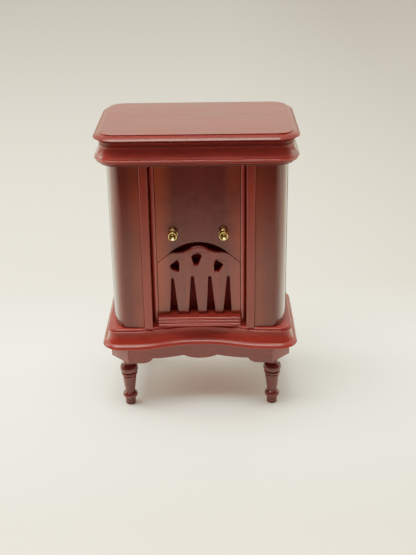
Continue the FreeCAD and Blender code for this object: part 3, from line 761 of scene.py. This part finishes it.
posts = (("quarter_column", column_section(), POST_WOOD),
         ("side_panel", box_section((HALF_BODY - PANEL, HALF_BODY),
                                    (BODY_FRONT + COLUMN_CORNER[1], BODY_BACK),
                                    (0.08, 0.2, 0.2, 0.1)), SIDE_WOOD),
         ("pilaster", box_section(PILASTER, (PILASTER_FACE, FRET_BACK), (0.3, 0.3, 0.1, 0.1)),
          PILASTER_WOOD),
         ("bead_strip", bead_section(), BEAD_PAINTED_HIGHLIGHT_WOOD))
for post, section, wood in posts:
    both_sides(post, extruded(section, LEDGE_Z, BODY_TOP, upright), wood)

back_section = box_section((PANEL - HALF_BODY, HALF_BODY - PANEL), (BODY_BACK - PANEL, BODY_BACK),
                           (0.1, 0.1, 0.1, 0.1))
wooden("back_panel", extruded(back_section, LEDGE_Z, BODY_TOP, upright), SIDE_WOOD)


# ------------------------------------------------------------------ front
def arch_height(x, radius):
    return ARCH_TOP - ARCH_RADIUS + math.sqrt(radius ** 2 - x ** 2)


def arch_line(radius):
    """The arch in the panel's foot from left to right, with its straight ends."""
    stations = [-ARCH_HALF + 2 * ARCH_HALF * i / 60 for i in range(61)]
    bow = [(x, arch_height(x, radius)) for x in stations]
    return [(-OPENING_HALF, ARCH_SPRING)] + bow + [(OPENING_HALF, ARCH_SPRING)]


shank_holes = [circle(x, KNOB_Z, SHANK_RADIUS + SHANK_SLACK) for x in (-KNOB_X, KNOB_X)]

panel_outline = arch_line(ARCH_RADIUS) + [(OPENING_HALF, BODY_TOP), (-OPENING_HALF, BODY_TOP)]
wooden("front_panel", plate([panel_outline] + shank_holes, FRET, upright_plate(FRET_FACE)),
       PANEL_WOOD)

board_outline = [(-COLUMN_INNER, LEDGE_Z), (COLUMN_INNER, LEDGE_Z), (COLUMN_INNER, BODY_TOP),
                 (-COLUMN_INNER, BODY_TOP)]
wooden("backing_board", plate([board_outline] + shank_holes, PANEL, upright_plate(FRET_BACK)),
       BACKING)


def fret_outline():
    """Comb-shaped fret with its four slots open at the foot."""
    radius = ARCH_RADIUS - FRET_SLACK
    turn = (ARCH_HALF, arch_height(ARCH_HALF, radius))
    shoulder = FRET_SHOULDER
    mirror = [(-x, z) for x, z in shoulder]
    points = [(OPENING_HALF, ARCH_SPRING - FRET_SLACK), turn]
    points += arc_through(turn, shoulder[0], shoulder[1], 10)[1:]
    points += arc_through(*shoulder[1:], 12)[1:]
    points += arc_through(shoulder[3], (0, FRET_PEAK), mirror[3], 20)[1:]
    points += arc_through(mirror[3], mirror[2], mirror[1], 12)[1:]
    points += arc_through(mirror[1], mirror[0], (-turn[0], turn[1]), 10)[1:]
    points += [(-OPENING_HALF, ARCH_SPRING - FRET_SLACK), (-OPENING_HALF, SILL_TOP)]
    across, rise = SLOT_FOOT_MIDDLE
    for top_x, top_width, foot_x, foot_width, top_z in SLOTS:
        a, b = top_width / 2, foot_width / 2
        left_foot, right_foot = foot_x - b, foot_x + b
        left_lean = SLOT_FOOT * (left_foot - top_x + a) / (SILL_TOP - top_z)
        right_lean = SLOT_FOOT * (right_foot - top_x - a) / (SILL_TOP - top_z)
        points += arc_through((left_foot - SLOT_FOOT, SILL_TOP),
                              (left_foot - across, SILL_TOP + rise),
                              (left_foot + left_lean, SILL_TOP + SLOT_FOOT), 6)
        points += arc_through((top_x - a, top_z), (top_x, top_z + SLOT_CROWN),
                              (top_x + a, top_z), 10)
        points += arc_through((right_foot + right_lean, SILL_TOP + SLOT_FOOT),
                              (right_foot + across, SILL_TOP + rise),
                              (right_foot + SLOT_FOOT, SILL_TOP), 6)
    return points + [(OPENING_HALF, SILL_TOP)]


def sawn(outline):
    """Outline with the small unevenness of a hand-sawn edge."""
    return [(x + wobble((x, 0, z), HAND_SAWN, 1.3, 5.0), z + wobble((x, 9, z), HAND_SAWN, 1.3, 7.0))
            for x, z in outline]


def fan_hole(corners):
    outline = rounded([(x, z, HOLE_CORNER) for x, z in corners], 5)
    return sawn(spread(outline + outline[:1], HOLE_GAP)[:-1])


def worn_crest(x, y, z):
    """Rounds the fret's wavy top arris over further than the others."""
    out = (y, z)
    if z > CREST_LOW and y < FRET_FACE + FRET_EASE + 0.001:
        fade = min(1.0, (z - CREST_LOW) / CREST_FADE)
        sine = min(1.0, max(0.0, (FRET_FACE + FRET_EASE - y) / FRET_EASE))
        turn = math.asin(sine)
        deep = FRET_FACE + CREST_ROUND * (1 - math.sin(turn))
        low = z - (CREST_ROUND - FRET_EASE) * (1 - math.cos(turn))
        out = (y + (deep - y) * fade, z + (low - z) * fade)
    return (x, *out)


fret_mesh = plate([fret_outline()] + [fan_hole(corners) for corners in FAN_HOLES], FRET,
                  upright_plate(FRET_FACE), FRET_EASE)
for vertex in fret_mesh.vertices:
    vertex.co = [c * MM for c in worn_crest(*(c / MM for c in vertex.co))]
wooden("grille_fret", fret_mesh, FRET_WOOD)


def sill_section():
    """Three reeds, closed behind, in (depth, height)."""
    rise = (SILL_TOP - LEDGE_Z) / 3
    runs = []
    for i in (2, 1, 0):
        z0 = LEDGE_Z + i * rise
        face = SILL_FACE + i * REED_STEP
        root = face + REED_DEPTH
        if runs:
            runs.append((runs[-1][-1], (root, z0 + rise)))
        runs.append(((root, z0 + rise), (face, z0 + rise / 2), (root, z0)))
    first = runs[0][0]
    last = runs[-1][-1]
    start = (((first[0] + 1.0, SILL_TOP), first),)
    end = ((last, (last[0] + 1.0, LEDGE_Z)),)
    return (trace(start + tuple(runs) + end, 0.05, 1)
            + [(FRET_BACK, LEDGE_Z), (FRET_BACK, SILL_TOP)])


def sill_place(y, z, x):
    """Lets the reeds wander a little, and leaves the rest of the strip true."""
    front = max(0.0, min(1.0, (-14.5 - y) / 2))
    middle = (LEDGE_Z + SILL_TOP) / 2
    shift = front * wobble((x, 0, 0), REED_WANDER, 6.0, 3.0) * (1 - abs(z - middle) / 1.6)
    swell = front * wobble((x, 0, z * 3), REED_SWELL, 4.0, 6.0)
    return (x, y + swell, z + shift)


sill_stops = [-OPENING_HALF + REED_GAP * i for i in range(1, 48)]
wooden("sill_moulding", extruded(sill_section(), -OPENING_HALF, OPENING_HALF, sill_place,
                                 SILL_EASE, sill_stops), SILL_WOOD)


# ------------------------------------------------------------------ aprons and blocks
def apron_edge():
    """Lower edge of a front or back apron: a lobe, two flats and two steps."""
    # Points of the right half, from the foot inwards to the bottom of the lobe.
    foot, step, flat = (16.6, APRON_BOTTOM), (15.1, 15.75), (14.3, 16.55)
    sag, notch, lobe = (9.8, 16.1), (5.1, 16.35), (0, 15.1)
    foot2, step2, flat2, sag2, notch2 = ((-x, z) for x, z in (foot, step, flat, sag, notch))
    points = [(-CANT_START, APRON_BOTTOM), foot2]
    points += arc_through(foot2, step2, flat2, 8)[1:]
    points += arc_through(flat2, sag2, notch2, 18)[1:]
    points += arc_through(notch2, lobe, notch, 30)[1:]
    points += arc_through(notch, sag, flat, 18)[1:]
    points += arc_through(flat, step, foot, 8)[1:]
    return points + [(CANT_START, APRON_BOTTOM)]


def bowed_face(x):
    """Depth of the front apron's face, which follows the plinth."""
    turn = 2 * math.atan2(SERPENTINE, SERPENTINE_END)
    concave = SERPENTINE_TURN / math.sin(turn) + APRON_INSET
    convex = (SERPENTINE_END - SERPENTINE_TURN) / math.sin(turn) - APRON_INSET
    front = APRON_INSET - HALF_DEPTH
    if abs(x) >= SERPENTINE_END:
        return front
    if abs(x) >= concave * math.sin(turn):
        return front + convex - math.sqrt(convex ** 2 - (SERPENTINE_END - abs(x)) ** 2)
    return front + SERPENTINE - concave + math.sqrt(concave ** 2 - x ** 2)


def straight_face(_):
    return HALF_DEPTH - APRON_INSET - APRON_THICK


def apron(face):
    """Front or back apron: its shaped edge along a face given as depth at x."""
    edge = apron_edge()
    dense = []
    for a, b in zip(edge, edge[1:]):
        count = max(1, round(math.dist(a, b) / 0.3))
        dense += [(a[0] + (b[0] - a[0]) * i / count, a[1] + (b[1] - a[1]) * i / count)
                  for i in range(count)]
    dense.append(edge[-1])
    ease, bend = APRON_EASE, EASE_BEND * APRON_EASE
    points = []
    for x, low in dense:
        y = face(x)
        slope = (face(x + 0.05) - face(x - 0.05)) / 0.1
        length = math.hypot(1, slope)
        nx, ny = -slope / length, 1 / length
        ring = ((0, PLINTH_BOTTOM), (0, low + ease), (bend, low + bend), (ease, low),
                (APRON_THICK - ease, low), (APRON_THICK - bend, low + bend),
                (APRON_THICK, low + ease), (APRON_THICK, PLINTH_BOTTOM))
        points += [(x + nx * t, y + ny * t, z) for t, z in ring]
    columns = len(ring)
    rows = len(dense)
    faces = [quad[::-1] for quad in strips(rows, columns, False, True)]
    faces.append(tuple(range(columns)))
    faces.append(tuple(range((rows - 1) * columns, rows * columns))[::-1])
    return mesh_of(points, faces)


wooden("front_apron", apron(bowed_face), APRON_WOOD)
wooden("back_apron", apron(straight_face), APRON_WOOD)


def side_apron_outline():
    end = -BLOCK_BACK
    return (arc_through((-end, APRON_BOTTOM), (0, APRON_BOTTOM + SIDE_ARCH), (end, APRON_BOTTOM), 40)
            + [(end, PLINTH_BOTTOM), (-end, PLINTH_BOTTOM)])


def side_plate(u, v, depth):
    return (APRON_SIDE - depth, u, v)


both_sides("side_apron", plate([side_apron_outline()], APRON_THICK, side_plate), SIDE_APRON_WOOD)


def block_outline():
    """Plan of the canted block at the front right, behind the front apron."""
    behind = BLOCK_FRONT + APRON_THICK
    cant = APRON_SIDE - CANT_START
    return rounded([(BLOCK_INNER, behind, 0.05), (CANT_START, behind, 0),
                    (CANT_START, BLOCK_FRONT, 0.08), (APRON_SIDE, BLOCK_FRONT + cant, 0.5),
                    (APRON_SIDE, BLOCK_BACK, 0), (BLOCK_INNER, BLOCK_BACK, 0.05)])


def block_plate(sign):
    def place(u, v, depth):
        return (u, sign * v, APRON_BOTTOM + depth)
    return place


socket = circle(LEG_X, -LEG_Y, TENON_RADIUS)
for end, sign in (("front", 1), ("back", -1)):
    both_sides("leg_block_" + end,
               plate([block_outline(), socket], PLINTH_BOTTOM - APRON_BOTTOM, block_plate(sign),
                     BLOCK_EASE), APRON_WOOD)


# ------------------------------------------------------------------ legs and knobs
def leg_place(cx, cy):
    def place(radius, z, t):
        return (cx + radius * math.cos(t), cy + radius * math.sin(t), z)
    return place


for end, y in (("front", -LEG_Y), ("back", LEG_Y)):
    for side, x in (("left", -LEG_X), ("right", LEG_X)):
        wooden("leg_" + end + "_" + side, lathe(LEG_PROFILE, leg_place(x, y)), LEG_WOOD)


def knob_place(cx):
    def place(radius, out, t):
        return (cx + radius * math.cos(t), FRET_FACE - out, KNOB_Z + radius * math.sin(t))
    return place


for side, x in (("volume", -KNOB_X), ("tuning", KNOB_X)):
    knob = side + "_knob"
    finish_piece(knob, lathe(KNOB_PROFILE, knob_place(x), gap=0.04, passes=1), BRASS[side],
                 knob)

# The glue strips inside keep their CAD shape.
for side in ("left", "right"):
    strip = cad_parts["corner_strip_" + side]
    strip.data.materials.clear()
    strip.data.materials.append(BARE)

# ------------------------------------------------------------------ camera
PITCH = math.radians(23.596)
YAW = math.radians(-0.53)
ROLL = math.radians(-0.829)
STANDPOINT = (0.00499, -0.26856, 0.15317)
FOCAL_LENGTH = 61.54
SENSOR_WIDTH = 36
ahead = Vector((math.sin(YAW) * math.cos(PITCH), math.cos(YAW) * math.cos(PITCH), -math.sin(PITCH)))
level = Vector((math.cos(YAW), -math.sin(YAW), 0))
above = level.cross(ahead)
right = level * math.cos(ROLL) + above * math.sin(ROLL)
up = above * math.cos(ROLL) - level * math.sin(ROLL)
view = bpy.data.cameras.new("camera")
view.lens = FOCAL_LENGTH
view.sensor_width = SENSOR_WIDTH
view.clip_start = 0.01
camera = bpy.data.objects.new("camera", view)
turned = Matrix((right, up, -ahead)).transposed().to_4x4()
camera.matrix_world = Matrix.Translation(STANDPOINT) @ turned
bpy.context.scene.collection.objects.link(camera)
bpy.context.scene.camera = camera


# ------------------------------------------------------------------ stage
FLOOR_PALE = (0.83, 0.80, 0.715)
FLOOR_DARK = (0.02, 0.018, 0.016)
FLOOR_PAINTED_SHADE = (0.55, 0.53, 0.49, 1)
FLOOR_PAINTED_FILL_LIGHT = (0.95, 0.97, 0.90, 1)
ROOM_DARK = (0.07, 0.063, 0.055)
ROOM_PALE = (1.2, 1.13, 0.95)
WARM = (1.0, 0.96, 0.88)


def floor_material():
    """Off-white sweep: painted shade to the right, painted light round and under the object, dark
    well in front of it.
    """
    material, tree, shader = new_material("pale_floor")
    place = node(tree, "TexCoord", {}).outputs["Object"]
    ways = node(tree, "SeparateXYZ", {"Vector": place})
    across, depth = ways.outputs["X"], ways.outputs["Y"]
    near = ranged(tree, depth, -0.225, -0.125)
    grain = textured(tree, place, 900.0, 3.0, 0.6)
    pale = ramp(tree, near, ((0.0, FLOOR_DARK), (1.0, FLOOR_PALE)))
    # Painted shade: the floor darkens to the right.
    right = ranged(tree, across, 0.02, 0.14, 0.0, 0.38)
    pale = blend(tree, right, pale, FLOOR_PAINTED_SHADE, "MULTIPLY")
    # Painted light: the floor is whitened round and under the object, lifting its shadow.
    painted_fill_near = maths(tree, "MULTIPLY", ranged(tree, depth, -0.075, -0.02),
                  ranged(tree, depth, 0.075, 0.02))
    pale = blend(tree, painted_fill_near, pale, FLOOR_PAINTED_FILL_LIGHT)
    tree.links.new(pale, shader.inputs["Base Color"])
    bump = node(tree, "Bump", {"Height": grain, "Distance": 0.00002, "Strength": 0.4})
    tree.links.new(bump.outputs["Normal"], shader.inputs["Normal"])
    shader.inputs["Roughness"].default_value = 0.6
    return material


FLOOR_FLAT = 1200.0
RIM = 350.0
SPOKES = 96


def bowl_mesh():
    """Round floor that curls up at its rim, in (radius, height) along each spoke."""
    spoke = [(100.0 * i, 0.0) for i in range(1, 13)]
    spoke += [(FLOOR_FLAT + RIM * math.sin(math.radians(a)), RIM - RIM * math.cos(math.radians(a)))
              for a in range(6, 61, 6)]
    points = []
    for i in range(SPOKES):
        t = math.tau * i / SPOKES
        points += [(r * math.cos(t), r * math.sin(t), z) for r, z in spoke]
    columns = len(spoke)
    faces = [face[::-1] for face in strips(SPOKES, columns, True, False)]
    middle = len(points)
    points.append((0, 0, 0))
    faces += [(middle, i * columns, (i + 1) % SPOKES * columns) for i in range(SPOKES)]
    return mesh_of(points, faces)


floor_mesh = bowl_mesh()
floor_mesh.shade_smooth()
floor_mesh.materials.append(floor_material())
floor = bpy.data.objects.new("floor", floor_mesh)
bpy.context.scene.collection.objects.link(floor)


def softbox(name, place, target, width, height, radiance, colour):
    """Area light of a given radiance that faces a point."""
    light = bpy.data.lights.new(name, "AREA")
    light.shape = "RECTANGLE"
    light.size = width
    light.size_y = height
    light.energy = radiance * math.pi * width * height
    light.color = colour
    lamp = bpy.data.objects.new(name, light)
    lamp.location = place
    lamp.rotation_euler = (Vector(target) - Vector(place)).to_track_quat("-Z", "Y").to_euler()
    bpy.context.scene.collection.objects.link(lamp)


softbox("overhead", place=(-0.13, -0.085, 0.60), target=(-0.13, -0.085, 0), width=0.5,
        height=0.34, radiance=8.5, colour=WARM)
softbox("left", place=(-0.55, 0.15, 0.40), target=(0, 0, 0.05), width=0.25, height=0.25,
        radiance=3.0, colour=WARM)

# A pale room behind, overhead and to the sides, and a dark one where the camera stands.
world = bpy.data.worlds.new("tent")
world.use_nodes = True
bpy.context.scene.world = world
tree = world.node_tree
direction = node(tree, "TexCoord", {}).outputs["Generated"]
parts = node(tree, "SeparateXYZ", {"Vector": direction})
behind = ranged(tree, parts.outputs["Y"], -0.15, 0.15)
overhead = ranged(tree, parts.outputs["Z"], 0.75, 0.92)
lit = maths(tree, "MAXIMUM", behind, overhead)
beside = ranged(tree, maths(tree, "ABSOLUTE", parts.outputs["X"]), 0.6, 0.9, 1.0, 1.75)
sky = ramp(tree, lit, ((0.0, ROOM_DARK), (1.0, ROOM_PALE)))
tree.links.new(beside, tree.nodes["Background"].inputs["Strength"])
tree.links.new(sky, tree.nodes["Background"].inputs["Color"])

# A camera's shoulder: the mid-tones stay as they are, and the white stage is held below clipping.
settings = bpy.context.scene.view_settings
settings.view_transform = "Standard"
settings.use_curve_mapping = True
shoulder = settings.curve_mapping
WHITE = 4.0  # scene light at the right-hand end of the curve
shoulder.white_level = (WHITE, WHITE, WHITE)
combined = shoulder.curves[3]
TONES = ((0.1, 0.1), (0.2, 0.2), (0.4, 0.385), (0.6, 0.5), (0.93, 0.64), (1.5, 0.80), (2.3, 0.91))
for scene_light, shown in TONES:
    combined.points.new(scene_light / WHITE, shown)
shoulder.update()
